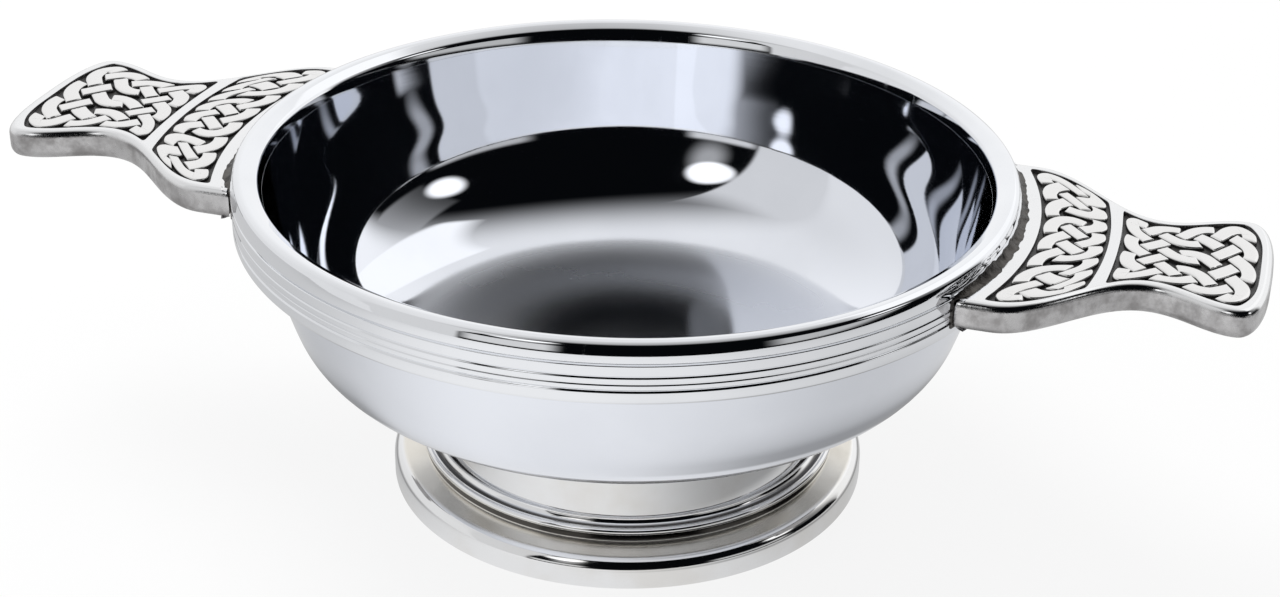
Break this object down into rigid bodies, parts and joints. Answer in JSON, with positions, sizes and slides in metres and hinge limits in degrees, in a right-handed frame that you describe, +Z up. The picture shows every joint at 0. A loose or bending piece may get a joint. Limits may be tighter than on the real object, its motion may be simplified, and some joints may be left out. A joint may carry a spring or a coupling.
{
  "type": "quaich",
  "caption": "Shallow two-lugged drinking bowl in polished pewter, with a reeded rim band, flat lugs with sunk black interlace and a turned foot.",
  "frame": {"origin": "centre of the foot's rest ring, on the table", "axes": "+Z up along the bowl's axis, +X along the lugs, +Y across them"},
  "size_m": [0.1666, 0.1016, 0.046],
  "materials": {
    "polished_pewter": "mirror polish",
    "turned_pewter": "polished, with fine turning marks",
    "cast_pewter": "polished top, satin cast sides",
    "solder": "dull grey solder",
    "blacking": "matt black fill"
  },
  "bodies": {
    "root": {"bowl": "polished_pewter", "rim_band": "polished_pewter", "rim_seam": "solder", "foot": "turned_pewter", "foot_seam": "solder", "right_lug": "cast_pewter", "right_lug_blacking": "blacking", "right_lug_seam": "solder", "left_lug": "cast_pewter", "left_lug_blacking": "blacking", "left_lug_seam": "solder"}
  },
  "joints": []
}
